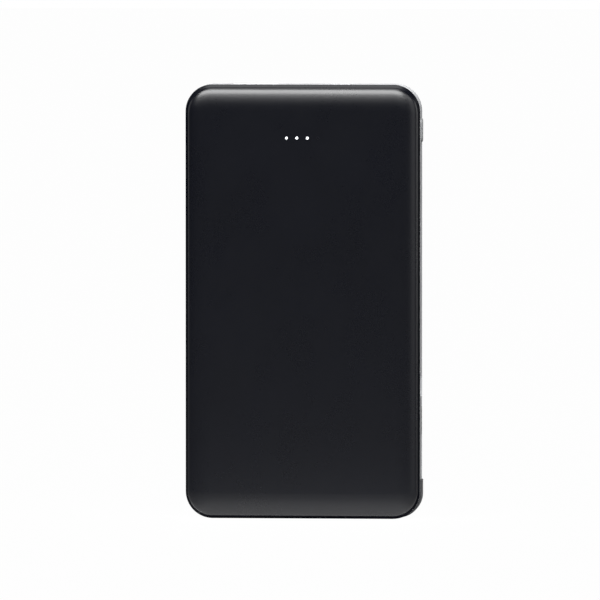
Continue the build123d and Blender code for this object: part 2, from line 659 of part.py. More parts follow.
neck_out = BEND_X + LEAD_BEND
neck_in = neck_out - LEAD_THICKNESS
grip_out = HALF_WIDTH - GRIP_SINK
grip_in = grip_out - GRIP_THICKNESS
grip_top = GRIP_START + GRIP_LENGTH
with BuildPart() as lead_neck:
    add(lead_slice(lead_angle(LEAD_JOINTS) + slit_angle / 2, 0))
    with BuildSketch(face_plane(-LEAD_WIDTH / 2)):
        with BuildLine():
            Polyline(
                (neck_out, BEND_Z), (neck_out, GRIP_START), (neck_in, GRIP_START), (neck_in, BEND_Z), close=True
            )
        make_face()
    extrude(amount=LEAD_WIDTH)
keep(lead_neck, "lead_neck")

with BuildPart() as plug_grip:
    with BuildSketch(face_plane(-LEAD_WIDTH / 2)):
        with Locations(((grip_in + grip_out) / 2, GRIP_START + GRIP_LENGTH / 2)):
            Rectangle(GRIP_THICKNESS, GRIP_LENGTH)
    extrude(amount=LEAD_WIDTH)
    chamfer(plug_grip.edges().filter_by(Axis.Z).group_by(Axis.X)[0], GRIP_EDGE)
    chamfer(plug_grip.faces().sort_by(Axis.Z)[-1].edges().filter_by(Axis.Y), GRIP_EDGE)
keep(plug_grip, "plug_grip")

plug_x = (grip_in + grip_out) / 2
with BuildPart() as plug_shell:
    with BuildSketch(level(grip_top)):
        with Locations((plug_x, 0)):
            Rectangle(PLUG_THICKNESS, PLUG_WIDTH)
    extrude(amount=PLUG_LENGTH)
    chamfer(plug_shell.edges().filter_by(Axis.Z).group_by(Axis.X)[0], 0.6)
    with BuildSketch(level(grip_top)):
        with Locations((plug_x, 0)):
            Rectangle(PLUG_THICKNESS - 2 * PLUG_SHEET, PLUG_WIDTH - 1.6)
    extrude(amount=PLUG_LENGTH, mode=Mode.SUBTRACT)
keep(plug_shell, "plug_shell")

with BuildPart() as plug_core:
    with BuildSketch(level(grip_top)):
        with Locations((plug_x + PLUG_THICKNESS / 4 - 0.15, 0)):
            Rectangle(0.5, PLUG_WIDTH - 1.8)
    extrude(amount=PLUG_LENGTH - 0.6)
keep(plug_core, "plug_core")

ribbon_x = ROOT_END + RIBBON_THICKNESS
ribbon_up_x = (CELL_CENTRE_X + CELL_WIDTH / 2 + BAY_WALL_X) / 2
with BuildPart() as lead_ribbon:
    with BuildLine(Plane.XZ) as ribbon_path:
        start = Line((ribbon_x, BAY_FLOOR_BOTTOM), (ribbon_x, BAY_WALL_Z + 0.3))
        turn_out = JernArc(start @ 1, start % 1, RIBBON_BEND, -90)
        across = Line(turn_out @ 1, Vector(ribbon_up_x - RIBBON_BEND, 0, (turn_out @ 1).Z))
        turn_up = JernArc(across @ 1, across % 1, RIBBON_BEND, 90)
        Line(turn_up @ 1, Vector(ribbon_up_x, 0, BOARD_BOTTOM + 3))
    with BuildSketch(level(BAY_FLOOR_BOTTOM)):
        with Locations((ribbon_x, 0)):
            Rectangle(RIBBON_THICKNESS, RIBBON_WIDTH)
    sweep(path=ribbon_path.wires()[0])
keep(lead_ribbon, "lead_ribbon")
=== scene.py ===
import math

import bmesh
import bpy
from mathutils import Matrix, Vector


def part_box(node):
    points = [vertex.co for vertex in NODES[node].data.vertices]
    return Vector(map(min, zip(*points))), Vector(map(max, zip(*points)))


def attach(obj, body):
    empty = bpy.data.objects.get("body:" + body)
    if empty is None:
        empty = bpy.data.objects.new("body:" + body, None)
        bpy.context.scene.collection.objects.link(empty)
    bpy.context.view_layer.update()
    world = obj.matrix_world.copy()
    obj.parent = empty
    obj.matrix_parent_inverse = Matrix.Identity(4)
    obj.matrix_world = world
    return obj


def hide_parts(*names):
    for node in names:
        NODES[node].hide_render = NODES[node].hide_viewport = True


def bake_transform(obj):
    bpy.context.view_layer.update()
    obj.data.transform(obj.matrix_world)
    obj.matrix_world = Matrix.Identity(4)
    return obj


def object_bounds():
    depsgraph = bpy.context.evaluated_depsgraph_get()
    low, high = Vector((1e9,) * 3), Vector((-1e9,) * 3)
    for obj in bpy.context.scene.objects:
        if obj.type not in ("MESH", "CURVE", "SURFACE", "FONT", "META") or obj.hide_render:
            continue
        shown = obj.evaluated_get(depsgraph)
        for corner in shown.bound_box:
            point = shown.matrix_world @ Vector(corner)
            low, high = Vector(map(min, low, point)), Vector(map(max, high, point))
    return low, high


bl_info = {
    "name": "Power Bank With Folded Lead",
    "version": (1, 0, 0),
    "blender": (4, 5, 0),
    "location": "View3D > Sidebar > Power Bank",
    "description": "Finishes a power bank with a black shell, a pale frame and a short folded lead",
    "category": "Object",
}

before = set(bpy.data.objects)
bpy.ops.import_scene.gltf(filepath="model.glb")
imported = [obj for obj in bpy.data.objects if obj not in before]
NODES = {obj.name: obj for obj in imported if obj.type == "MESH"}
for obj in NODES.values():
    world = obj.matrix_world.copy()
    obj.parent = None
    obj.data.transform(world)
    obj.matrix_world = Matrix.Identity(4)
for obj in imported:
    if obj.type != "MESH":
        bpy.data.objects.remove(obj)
CAD_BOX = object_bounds()

# where the folded lead bends, as in the design, in metres
BEND_CENTRE = Vector((0.02745, 0.0, 0.0071))
BEND_RADIUS = 0.0068
LEAD_THICKNESS = 0.0026

# row of status lights, as in the design
LIGHT_PITCH = 0.003
LIGHT_HEIGHT = 0.1097

# steep foot of the covers, where painted shade turns their reflection down: from the frame outwards, and
# below the top edge
FOOT_START = 0.00545
FOOT_END = 0.0056
FOOT_FADE_START = 0.1195
FOOT_FADE_END = 0.1235

# finger grooves of the plug grip
GROOVE_DROP = 0.0035
GROOVE_PITCH = 0.0016
GROOVE_SHARE = 0.45
GROOVE_INSET = 0.0009

# degrees of the bend that one facet of the neck covers
NECK_STEP = 1.5

# soft boxes: azimuth, elevation, distance from the top of the object, width and height
SOFT_BOXES = {
    "top": (-12, 48, 1.0, (1.0, 0.5)),
    "ceiling": (-12, 86, 1.0, (0.7, 0.7)),
    "low": (-10, 26, 1.0, (1.1, 0.22)),
    "edge": (98, 10, 0.9, (0.6, 0.6)),
    "right": (46, 14, 1.2, (0.62, 1.1)),
    "corner": (48, 36, 1.0, (0.4, 0.3)),
    "left": (-86, 5, 1.2, (0.4, 1.0)),
}

# what the camera aims at, from the middle of the object
AIM_OFFSET = Vector((-0.00114, 0, 0.00025))


# ------------------------------------------------------------------ settings


class PowerBankFinish(bpy.types.PropertyGroup):
    """Colours and surface of the object itself"""

    cover_colour: bpy.props.FloatVectorProperty(
        name="Cover colour", description="Moulded black of the two covers",
        subtype="COLOR", size=3, min=0, max=1, default=(0.0010, 0.0014, 0.0036),
    )
    cover_roughness: bpy.props.FloatProperty(
        name="Cover roughness", description="How satin the covers are",
        subtype="FACTOR", min=0.1, max=0.9, default=0.28,
    )
    frame_colour: bpy.props.FloatVectorProperty(
        name="Frame colour", description="Pale grey of the frame and of the plug grip",
        subtype="COLOR", size=3, min=0, max=1, default=(0.78, 0.79, 0.81),
    )
    button_colour: bpy.props.FloatVectorProperty(
        name="Button colour", description="Mid grey of the side button",
        subtype="COLOR", size=3, min=0, max=1, default=(0.30, 0.305, 0.31),
    )
    lead_colour: bpy.props.FloatVectorProperty(
        name="Lead colour", description="Dark grey of the soft neck of the lead",
        subtype="COLOR", size=3, min=0, max=1, default=(0.030, 0.031, 0.034),
    )
    grain_size: bpy.props.FloatProperty(
        name="Grain size", description="Size of the fine grain moulded into the covers",
        subtype="DISTANCE", unit="LENGTH", min=0.00005, max=0.002, default=0.00022,
    )
    light_glow: bpy.props.FloatProperty(
        name="Light glow", description="Brightness of the lit status lights",
        min=0, max=20, default=0.9,
    )


class PowerBankLead(bpy.types.PropertyGroup):
    """Shape of the folded lead"""

    width: bpy.props.FloatProperty(
        name="Lead width", description="Width of the flat neck, front to back",
        subtype="DISTANCE", unit="LENGTH", default=0.0074,
    )
    edge: bpy.props.FloatProperty(
        name="Edge radius", description="Rounding along the four long edges of the neck",
        subtype="DISTANCE", unit="LENGTH", default=0.0007,
    )
    grip_edge: bpy.props.FloatProperty(
        name="Grip edge", description="Rounding of the plug grip's edges",
        subtype="DISTANCE", unit="LENGTH", default=0.00035,
    )
    groove_count: bpy.props.IntProperty(
        name="Grooves", description="Number of finger grooves across the plug grip",
        min=0, max=12, default=5,
    )
    groove_depth: bpy.props.FloatProperty(
        name="Groove depth", description="Depth of each finger groove",
        subtype="DISTANCE", unit="LENGTH", default=0.00022,
    )


class PowerBankStage(bpy.types.PropertyGroup):
    """Camera, floor and lights"""

    azimuth: bpy.props.FloatProperty(
        name="Camera azimuth", description="Angle of the camera to the right of straight ahead, in degrees",
        default=4.2,
    )
    elevation: bpy.props.FloatProperty(
        name="Camera elevation", description="Angle of the camera above the horizon, in degrees", default=3.0,
    )
    distance: bpy.props.FloatProperty(
        name="Camera distance", description="Distance from the camera to the middle of the object",
        subtype="DISTANCE", unit="LENGTH", default=3.0,
    )
    view_width: bpy.props.FloatProperty(
        name="View width", description="Width that the picture covers at the object",
        subtype="DISTANCE", unit="LENGTH", default=0.17285,
    )
    top_light: bpy.props.FloatProperty(
        name="Top light", description="Power of the soft box above the front edge, in watts",
        default=22.0,
    )
    low_light: bpy.props.FloatProperty(
        name="Low light", description="Power of the faint soft box under the top light, in watts",
        default=1.6,
    )
    ceiling_light: bpy.props.FloatProperty(
        name="Ceiling light", description="Power of the weak soft box straight above, in watts",
        default=3.0,
    )
    edge_light: bpy.props.FloatProperty(
        name="Edge light", description="Power of the soft box beside the right-hand wall, in watts",
        default=2.1,
    )
    right_light: bpy.props.FloatProperty(
        name="Right light", description="Power of the weak panel in front on the right, in watts",
        default=2.4,
    )
    corner_light: bpy.props.FloatProperty(
        name="Corner light", description="Power of the small soft box high on the right, in watts",
        default=0.8,
    )
    left_light: bpy.props.FloatProperty(
        name="Left light", description="Power of the weak panel on the left, in watts",
        default=1.5,
    )
    ambient: bpy.props.FloatProperty(
        name="Room light", description="Brightness of the room around the object", default=0.04,
    )


# ------------------------------------------------------------------ finishes


class Wiring:
    """Short hand for adding and joining the nodes of one material."""

    def __init__(self, name):
        self.material = bpy.data.materials.new(name)
        self.material.use_nodes = True
        self.tree = self.material.node_tree
        self.tree.nodes.clear()
        self.output = self.node("ShaderNodeOutputMaterial")
        self.shader = self.node("ShaderNodeBsdfPrincipled")
        self.join(self.shader, "BSDF", self.output, "Surface")
        self.place = self.node("ShaderNodeTexCoord")

    def node(self, kind, **settings):
        made = self.tree.nodes.new(kind)
        for key, value in settings.items():
            setattr(made, key, value)
        return made

    def join(self, source, out, target, into):
        self.tree.links.new(source.outputs[out], target.inputs[into])

    def stretched(self, scale):
        """Object coordinates stretched by a factor along each axis."""
        mapping = self.node("ShaderNodeMapping")
        mapping.inputs["Scale"].default_value = scale
        self.join(self.place, "Object", mapping, "Vector")
        return mapping

    def coordinate(self, axis, operation="ADD"):
        """One object coordinate as a plain value."""
        parts = self.node("ShaderNodeSeparateXYZ")
        self.join(self.place, "Object", parts, "Vector")
        value = self.node("ShaderNodeMath", operation=operation)
        self.tree.links.new(parts.outputs[axis], value.inputs[0])
        value.inputs[1].default_value = 0.0
        return value

    def distance_from_axis(self, axis):
        """Size of one object coordinate, whichever side of the middle it is on."""
        return self.coordinate(axis, "ABSOLUTE")

    def noise(self, size, detail=3.0, roughness=0.5, stretch=(1, 1, 1)):
        """Noise whose patches are about this size in metres."""
        made = self.node("ShaderNodeTexNoise")
        made.inputs["Scale"].default_value = 1.0 / size
        made.inputs["Detail"].default_value = detail
        made.inputs["Roughness"].default_value = roughness
        self.join(self.stretched(stretch), "Vector", made, "Vector")
        return made

    def cells(self, size):
        """Cell pattern whose cells are about this size in metres."""
        made = self.node("ShaderNodeTexVoronoi")
        made.inputs["Scale"].default_value = 1.0 / size
        self.join(self.place, "Object", made, "Vector")
        return made

    def tones(self, source, out, stops):
        """Colour ramp through the given (place, colour) stops."""
        ramp = self.node("ShaderNodeValToRGB")
        elements = ramp.color_ramp.elements
        while len(elements) < len(stops):
            elements.new(0.5)
        for element, (place, colour) in zip(elements, stops):
            element.position = place
            element.color = (*colour, 1)
        self.join(source, out, ramp, "Fac")
        return ramp

    def between(self, source, out, low, high, start=0.0, end=1.0):
        """Maps a value onto the range from low to high."""
        made = self.node("ShaderNodeMapRange")
        made.inputs["From Min"].default_value = start
        made.inputs["From Max"].default_value = end
        made.inputs["To Min"].default_value = low
        made.inputs["To Max"].default_value = high
        self.join(source, out, made, "Value")
        return made

    def drive(self, socket, source, out, low, high, start=0.0, end=1.0):
        """A value mapped onto the range from low to high sets this socket of the shader."""
        self.join(self.between(source, out, low, high, start, end), "Result", self.shader, socket)

    def tint(self, source, stops, socket="Base Color"):
        """A noise runs through these stops to set a colour of the shader."""
        self.join(self.tones(source, "Fac", stops), "Color", self.shader, socket)

    def clouded(self, source, colour, dark, light):
        """A noise shades the base colour between two factors of it."""
        self.tint(source, [(0.3, shade(colour, dark)), (0.7, shade(colour, light))])

    def combine(self, first, first_out, second, second_out, operation="ADD"):
        made = self.node("ShaderNodeMath", operation=operation)
        self.tree.links.new(first.outputs[first_out], made.inputs[0])
        self.tree.links.new(second.outputs[second_out], made.inputs[1])
        return made

    def relief(self, layers):
        """Bumps laid over each other; each layer is (node, output, strength, depth in metres)."""
        last = None
        for source, out, strength, depth in layers:
            bump = self.node("ShaderNodeBump")
            bump.inputs["Strength"].default_value = strength
            bump.inputs["Distance"].default_value = depth
            self.join(source, out, bump, "Height")
            if last is not None:
                self.join(last, "Normal", bump, "Normal")
            last = bump
        self.join(last, "Normal", self.shader, "Normal")

    def set(self, **values):
        for key, value in values.items():
            self.shader.inputs[key.replace("_", " ")].default_value = value


def shade(colour, factor):
    return tuple(min(1.0, c * factor) for c in colour)


def satin_black_moulding(name, colour, roughness, grain):
    """Fine spark-eroded black plastic with faint handling marks, and painted shade on its steep foot, where
    the reflection is turned down.
    """
    w = Wiring(name)
    cloud = w.noise(0.018, 4)
    w.clouded(cloud, colour, 0.92, 1.10)
    smudge = w.noise(0.011, 5, 0.62, (1, 1, 0.6))
    fine = w.noise(0.0009, 3)
    both = w.combine(w.between(smudge, "Fac", roughness - 0.012, roughness + 0.012, 0.3, 0.7), "Result",
                 w.between(fine, "Fac", -0.005, 0.005, 0.3, 0.7), "Result")
    w.join(both, "Value", w.shader, "Roughness")
    pits = w.cells(grain * 1.6)
    grit = w.noise(grain, 2)
    sink = w.noise(0.03, 1)
    w.relief([(sink, "Fac", 0.04, 0.0001), (pits, "Distance", 0.03, 0.00002), (grit, "Fac", 0.04, 0.00003)])
    # painted shade: the reflection is turned down on the steep foot round the edge of each cover, fading out
    # near the top edge
    foot_shade_below_top = w.between(w.coordinate("Z"), "Value", 1.0, 0.0, FOOT_FADE_START, FOOT_FADE_END)
    foot_shade_band = w.between(w.distance_from_axis("Y"), "Value", 1.0, 0.0, FOOT_START, FOOT_END)
    foot_shade = w.combine(foot_shade_below_top, "Result", foot_shade_band, "Result", "MULTIPLY")
    w.drive("Specular IOR Level", foot_shade, "Value", 0.5, 0.04)
    w.set(IOR=1.5)
    return w.material


def pale_frame_paint(name, colour):
    """Pearl grey painted moulding with a faint random cloud in its tone."""
    w = Wiring(name)
    cloud = w.noise(0.02, 4)
    w.clouded(cloud, colour, 0.95, 1.04)
    flake = w.cells(0.00016)
    w.drive("Roughness", flake, "Distance", 0.30, 0.42, 0.0, 0.8)
    w.relief([(w.noise(0.0012, 3), "Fac", 0.06, 0.00005), (w.noise(0.00018, 2), "Fac", 0.12, 0.00002)])
    w.set(IOR=1.5, Metallic=0.15, Coat_Weight=0.15, Coat_Roughness=0.25)
    return w.material


def soft_lead_rubber(name, colour):
    """Dark soft jacket with a dusty matt skin."""
    w = Wiring(name)
    cloud = w.noise(0.004, 4)
    w.clouded(cloud, colour, 0.85, 1.2)
    w.drive("Roughness", w.noise(0.0011, 4), "Fac", 0.48, 0.66, 0.3, 0.7)
    w.relief([(w.noise(0.0007, 2), "Fac", 0.15, 0.00004), (w.noise(0.00014, 2), "Fac", 0.2, 0.00002)])
    w.set(IOR=1.45, Sheen_Weight=0.12, Sheen_Roughness=0.5)
    return w.material


def moulded_plastic(name, colour, roughness=0.45, grain=0.0003):
    """Plain moulding with a fine grain and a slight cloud in its colour."""
    w = Wiring(name)
    w.clouded(w.noise(0.006, 3), colour, 0.9, 1.08)
    w.drive("Roughness", w.noise(0.002, 4), "Fac", roughness - 0.05, roughness + 0.06, 0.3, 0.7)
    w.relief([(w.noise(grain, 2), "Fac", 0.15, 0.00003)])
    w.set(IOR=1.5)
    return w.material


def plated_metal(name, colour, roughness=0.22):
    """Bright plated sheet with fine drawing lines across it."""
    w = Wiring(name)
    lines = w.noise(0.0009, 5, 0.6, (1, 1, 8))
    w.clouded(lines, colour, 0.88, 1.05)
    w.drive("Roughness", lines, "Fac", roughness - 0.06, roughness + 0.10, 0.3, 0.7)
    w.relief([(lines, "Fac", 0.08, 0.00003)])
    w.set(Metallic=1.0)
    return w.material


def lit_lens(name, glow):
    """Milky light pipe end, brightest in its middle."""
    w = Wiring(name)
    milk = w.noise(0.0005, 2)
    w.tint(milk, [(0.2, (0.86, 0.90, 0.95)), (0.8, (1.0, 1.0, 1.0))])
    w.tint(milk, [(0.2, (0.84, 0.90, 1.0)), (0.8, (0.97, 0.985, 1.0))], "Emission Color")
    w.drive("Roughness", milk, "Fac", 0.25, 0.35)

    # distance from the middle of the nearest light, whose middles are odd multiples of half the pitch
    half, reach = LIGHT_PITCH / 2, 0.001
    across = w.node("ShaderNodeMath", operation="PINGPONG")
    w.join(w.coordinate("X"), "Value", across, "Value")
    across.inputs[1].default_value = half
    height = w.coordinate("Z")
    off_middle = w.node("ShaderNodeCombineXYZ")
    w.join(w.between(across, "Value", half, 0.0, 0.0, half), "Result", off_middle, "X")
    upwards = w.between(height, "Value", -reach, reach, LIGHT_HEIGHT - reach, LIGHT_HEIGHT + reach)
    w.join(upwards, "Result", off_middle, "Z")
    length = w.node("ShaderNodeVectorMath", operation="LENGTH")
    w.tree.links.new(off_middle.outputs["Vector"], length.inputs[0])
    w.drive("Emission Strength", length, "Value", glow, 0.3 * glow, 0.00022, 0.00040)
    return w.material


def printed_board(name):
    """Green lacquer over copper tracks, with a faint weave."""
    w = Wiring(name)
    tracks = w.node("ShaderNodeTexBrick")
    tracks.inputs["Scale"].default_value = 260.0
    tracks.inputs["Mortar Size"].default_value = 0.035
    tracks.inputs["Color1"].default_value = (0.012, 0.085, 0.035, 1)
    tracks.inputs["Color2"].default_value = (0.016, 0.105, 0.045, 1)
    tracks.inputs["Mortar"].default_value = (0.03, 0.17, 0.07, 1)
    w.join(w.stretched((1, 1, 1)), "Vector", tracks, "Vector")
    w.join(tracks, "Color", w.shader, "Base Color")
    w.drive("Roughness", w.noise(0.003, 3), "Fac", 0.25, 0.38)
    w.relief([(tracks, "Fac", 0.2, 0.00004), (w.noise(0.0002, 1), "Fac", 0.08, 0.00002)])
    w.set(IOR=1.5, Coat_Weight=0.3)
    return w.material


def crinkled_foil(name):
    """Laminated cell pouch, silver with soft creases and painted shade where they dip."""
    w = Wiring(name)
    crease_and_shade = w.noise(0.007, 5, 0.55)
    # painted shade: the silver darkens where the creases dip, from the same noise that raises them
    w.tint(crease_and_shade, [(0.3, (0.55, 0.56, 0.57)), (0.7, (0.74, 0.75, 0.76))])
    w.drive("Roughness", crease_and_shade, "Fac", 0.28, 0.46)
    w.relief([(crease_and_shade, "Fac", 0.5, 0.0003)])
    w.set(Metallic=0.9)
    return w.material


def paint(nodes, material):
    """Gives CAD nodes one material over all their faces."""
    for name in nodes:
        mesh = NODES[name].data
        mesh.materials.clear()
        mesh.materials.append(material)
        for face in mesh.polygons:
            face.material_index = 0


# ------------------------------------------------------------------ modelling helpers


def start_fresh():
    """Leaves edit mode and deselects everything."""
    if bpy.context.object and bpy.context.object.mode != "OBJECT":
        bpy.ops.object.mode_set(mode="OBJECT")
    bpy.ops.object.select_all(action="DESELECT")


def towards(azimuth, elevation):
    """Direction from the object, with angles in degrees to the right of the front and upwards."""
    a, e = math.radians(azimuth), math.radians(elevation)
    return Vector((math.sin(a) * math.cos(e), -math.cos(a) * math.cos(e), math.sin(e)))


def settle(piece, material, body=None):
    """Puts the object's place into its mesh, cleans the mesh and gives it its finish and body."""
    start_fresh()
    piece.select_set(True)
    bpy.context.view_layer.objects.active = piece
    bpy.ops.object.transform_apply(location=True, rotation=True, scale=True)
    bpy.ops.object.mode_set(mode="EDIT")
    bpy.ops.mesh.select_all(action="SELECT")
    bpy.ops.mesh.remove_doubles(threshold=0.000002)
    bpy.ops.mesh.normals_make_consistent(inside=False)
    bpy.ops.object.mode_set(mode="OBJECT")
    bpy.ops.object.shade_smooth_by_angle(angle=math.radians(40))
    piece.data.materials.clear()
    piece.data.materials.append(material)
    if body:
        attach(piece, body)
    piece.select_set(False)
    return piece


def on_bend(angle, inwards=0.0):
    """Point on the outer skin of the neck at an angle of the bend, or this far inside it."""
    radius = BEND_RADIUS - inwards
    turn = math.radians(angle)
    return BEND_CENTRE + Vector((radius * math.cos(turn), 0, radius * math.sin(turn)))


def neck_section(name, width, edge, angle):
    """Flat rounded cross-section of the neck, at this angle of the bend, left selected in edit mode."""
    start_fresh()
    bpy.ops.mesh.primitive_plane_add(size=1)
    section = bpy.context.object
    section.name = name
    section.scale = (LEAD_THICKNESS, width, 1)
    section.rotation_euler = (0, math.radians(-angle), 0)
    section.location = on_bend(angle, LEAD_THICKNESS / 2)
    bpy.ops.object.transform_apply(location=True, rotation=True, scale=True)
    bpy.ops.object.mode_set(mode="EDIT")
    bpy.ops.mesh.select_all(action="SELECT")
    bpy.ops.mesh.bevel(offset=edge, offset_type="OFFSET", segments=5, affect="VERTICES")
    return section


def spin_on(start, end):
    """Carries the selected section round the bend from one angle to the other."""
    bpy.ops.mesh.spin(
        steps=round((end - start) / NECK_STEP), angle=math.radians(end - start),
        center=tuple(BEND_CENTRE), axis=(0, 1, 0), use_auto_merge=False,
    )


def pull(along, steps):
    """Extrudes the selected end face straight on by this vector, in equal steps."""
    step = Vector(along) / steps
    for _ in range(steps):
        bpy.ops.mesh.extrude_region_move(TRANSFORM_OT_translate={"value": tuple(step)})


# ------------------------------------------------------------------ operators


class PaintCovers(bpy.types.Operator):
    """Finish both covers in fine-grained satin black"""

    bl_idname = "powerbank.paint_covers"
    bl_label = "Covers"

    def execute(self, context):
        finish = context.scene.power_bank_finish
        black = satin_black_moulding(
            "cover_black", finish.cover_colour, finish.cover_roughness, finish.grain_size
        )
        paint(["front_cover", "rear_cover"], black)
        return {"FINISHED"}


class PaintFrame(bpy.types.Operator):
    """Finish the frame in pearl grey and the side button in mid grey"""

    bl_idname = "powerbank.paint_frame"
    bl_label = "Frame and button"

    def execute(self, context):
        finish = context.scene.power_bank_finish
        paint(["mid_frame"], pale_frame_paint("frame_silver", finish.frame_colour))
        paint(["side_button"], moulded_plastic("button_grey", finish.button_colour, 0.38))
        return {"FINISHED"}


class PaintLights(bpy.types.Operator):
    """Light three of the status lights and leave the last one dark"""

    bl_idname = "powerbank.paint_lights"
    bl_label = "Status lights"

    def execute(self, context):
        finish = context.scene.power_bank_finish
        paint(["light_pipe_1", "light_pipe_2", "light_pipe_3"], lit_lens("light_lit", finish.light_glow))
        paint(["light_pipe_4"], satin_black_moulding("light_dark", finish.cover_colour, 0.3, 0.0004))
        paint(["light_chip_1", "light_chip_2", "light_chip_3", "light_chip_4"],
              moulded_plastic("light_chip", (0.75, 0.72, 0.45), 0.3))
        paint(["light_baffle"], moulded_plastic("baffle_black", (0.03, 0.03, 0.03), 0.55))
        return {"FINISHED"}


class PaintSockets(bpy.types.Operator):
    """Finish the metal and plastic of the sockets and of the plug"""

    bl_idname = "powerbank.paint_sockets"
    bl_label = "Sockets and plug"

    def execute(self, context):
        steel = plated_metal("plated_steel", (0.72, 0.72, 0.73))
        gold = plated_metal("contact_gold", (0.86, 0.62, 0.26), 0.2)
        inner = moulded_plastic("socket_plastic", (0.05, 0.05, 0.055), 0.5)
        pale = moulded_plastic("tongue_plastic", (0.62, 0.62, 0.60), 0.45)
        paint(["usb_a_shell", "usb_c_shell", "plug_shell"], steel)
        paint(["usb_a_contacts", "usb_c_contacts"], gold)
        paint(["usb_c_tongue", "plug_core"], inner)
        paint(["usb_a_tongue"], pale)
        return {"FINISHED"}


class PaintInside(bpy.types.Operator):
    """Finish the board, the cells, the switch and the wires inside"""

    bl_idname = "powerbank.paint_inside"
    bl_label = "Inside parts"

    def execute(self, context):
        steel = plated_metal("screw_steel", (0.60, 0.60, 0.61), 0.3)
        black = moulded_plastic("component_black", (0.028, 0.028, 0.03), 0.5)
        paint(["circuit_board", "guard_board"], printed_board("board_green"))
        paint(["board_screw_1", "board_screw_2", "board_post_1", "board_post_2", "cell_tabs"], steel)
        paint(["power_inductor", "boost_controller", "charge_controller", "power_transistor"], black)
        paint(["switch_body", "switch_plunger"], black)
        paint(["output_capacitor", "input_capacitor"],
              moulded_plastic("capacitor_tan", (0.48, 0.34, 0.18), 0.5))
        paint(["cell_front", "cell_rear"], crinkled_foil("cell_foil"))
        paint(["cell_pad_front", "cell_pad_rear", "cell_tape"],
              moulded_plastic("foam_white", (0.78, 0.78, 0.75), 0.7, 0.0008))
        paint(["wire_red"], moulded_plastic("wire_red", (0.5, 0.03, 0.03), 0.4))
        paint(["wire_black"], moulded_plastic("wire_black", (0.03, 0.03, 0.03), 0.4))
        return {"FINISHED"}


class BuildNeck(bpy.types.Operator):
    """Model the soft neck of the lead in three lengths that follow its bend"""

    bl_idname = "powerbank.build_neck"
    bl_label = "Lead neck"

    def execute(self, context):
        lead = context.scene.power_bank_lead
        rubber = soft_lead_rubber("lead_rubber", context.scene.power_bank_finish.lead_colour)
        paint(["lead_ribbon"], rubber)
        root_low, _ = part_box("lead_anchor")
        _, tip_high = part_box("lead_neck")

        root = neck_section("neck_root", lead.width, lead.edge, -90)
        spin_on(-90, -60)
        bpy.ops.mesh.select_all(action="DESELECT")
        mesh = bmesh.from_edit_mesh(root.data)
        for face in mesh.faces:
            middle = face.calc_center_median()
            face.select_set(abs(middle.x - BEND_CENTRE.x) < 1e-6 and abs(face.normal.x) > 0.9)
        bmesh.update_edit_mesh(root.data)
        pull((root_low.x - BEND_CENTRE.x, 0, 0), 3)
        bpy.ops.object.mode_set(mode="OBJECT")
        settle(root, rubber)
        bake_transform(root)
        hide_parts("lead_anchor")

        middle = neck_section("neck_middle", lead.width, lead.edge, -60)
        spin_on(-60, -30)
        bpy.ops.object.mode_set(mode="OBJECT")
        settle(middle, rubber)
        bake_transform(middle)
        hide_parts("lead_link_1", "lead_link_2")

        tip = neck_section("neck_tip", lead.width, lead.edge, -30)
        spin_on(-30, 0)
        pull((0, 0, tip_high.z - BEND_CENTRE.z), 6)
        bpy.ops.object.mode_set(mode="OBJECT")
        settle(tip, rubber)
        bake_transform(tip)
        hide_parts("lead_neck")
        return {"FINISHED"}


class BuildGrip(bpy.types.Operator):
    """Model the plug grip with rounded edges and finger grooves"""

    bl_idname = "powerbank.build_grip"
    bl_label = "Plug grip"

    def execute(self, context):
        lead = context.scene.power_bank_lead
        finish = context.scene.power_bank_finish
        low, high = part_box("plug_grip")
        start_fresh()
        bpy.ops.mesh.primitive_cube_add(size=1, location=(low + high) / 2, scale=high - low)
        grip = bpy.context.object
        grip.name = "plug_grip_body"
        bpy.ops.object.transform_apply(location=True, rotation=True, scale=True)
        bpy.ops.object.mode_set(mode="EDIT")
        first = high.z - GROOVE_DROP
        for number in range(lead.groove_count):
            for side in (0, 1):
                bpy.ops.mesh.select_all(action="SELECT")
                height = first - (number + side * GROOVE_SHARE) * GROOVE_PITCH
                bpy.ops.mesh.bisect(plane_co=(0, 0, height), plane_no=(0, 0, 1))
        mesh = bmesh.from_edit_mesh(grip.data)
        bpy.ops.mesh.select_all(action="DESELECT")
        for face in mesh.faces:
            middle = face.calc_center_median()
            for number in range(lead.groove_count):
                groove = first - (number + GROOVE_SHARE / 2) * GROOVE_PITCH
                in_groove = abs(middle.z - groove) < GROOVE_PITCH * 0.1
                if in_groove and middle.x > high.x - 1e-5 and face.normal.x > 0.9:
                    face.select_set(True)
        bmesh.update_edit_mesh(grip.data)
        bpy.ops.mesh.inset(thickness=GROOVE_INSET, depth=0, use_individual=True)
        bpy.ops.transform.translate(value=(-lead.groove_depth, 0, 0))
        bpy.ops.object.mode_set(mode="OBJECT")
        rounding = grip.modifiers.new("edges", "BEVEL")
        rounding.width = lead.grip_edge
        rounding.segments = 3
        rounding.limit_method = "ANGLE"
        rounding.angle_limit = math.radians(50)
        bpy.ops.object.modifier_apply(modifier="edges")
        settle(grip, bpy.data.materials["frame_silver"], "lead_end")
        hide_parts("plug_grip")
        return {"FINISHED"}


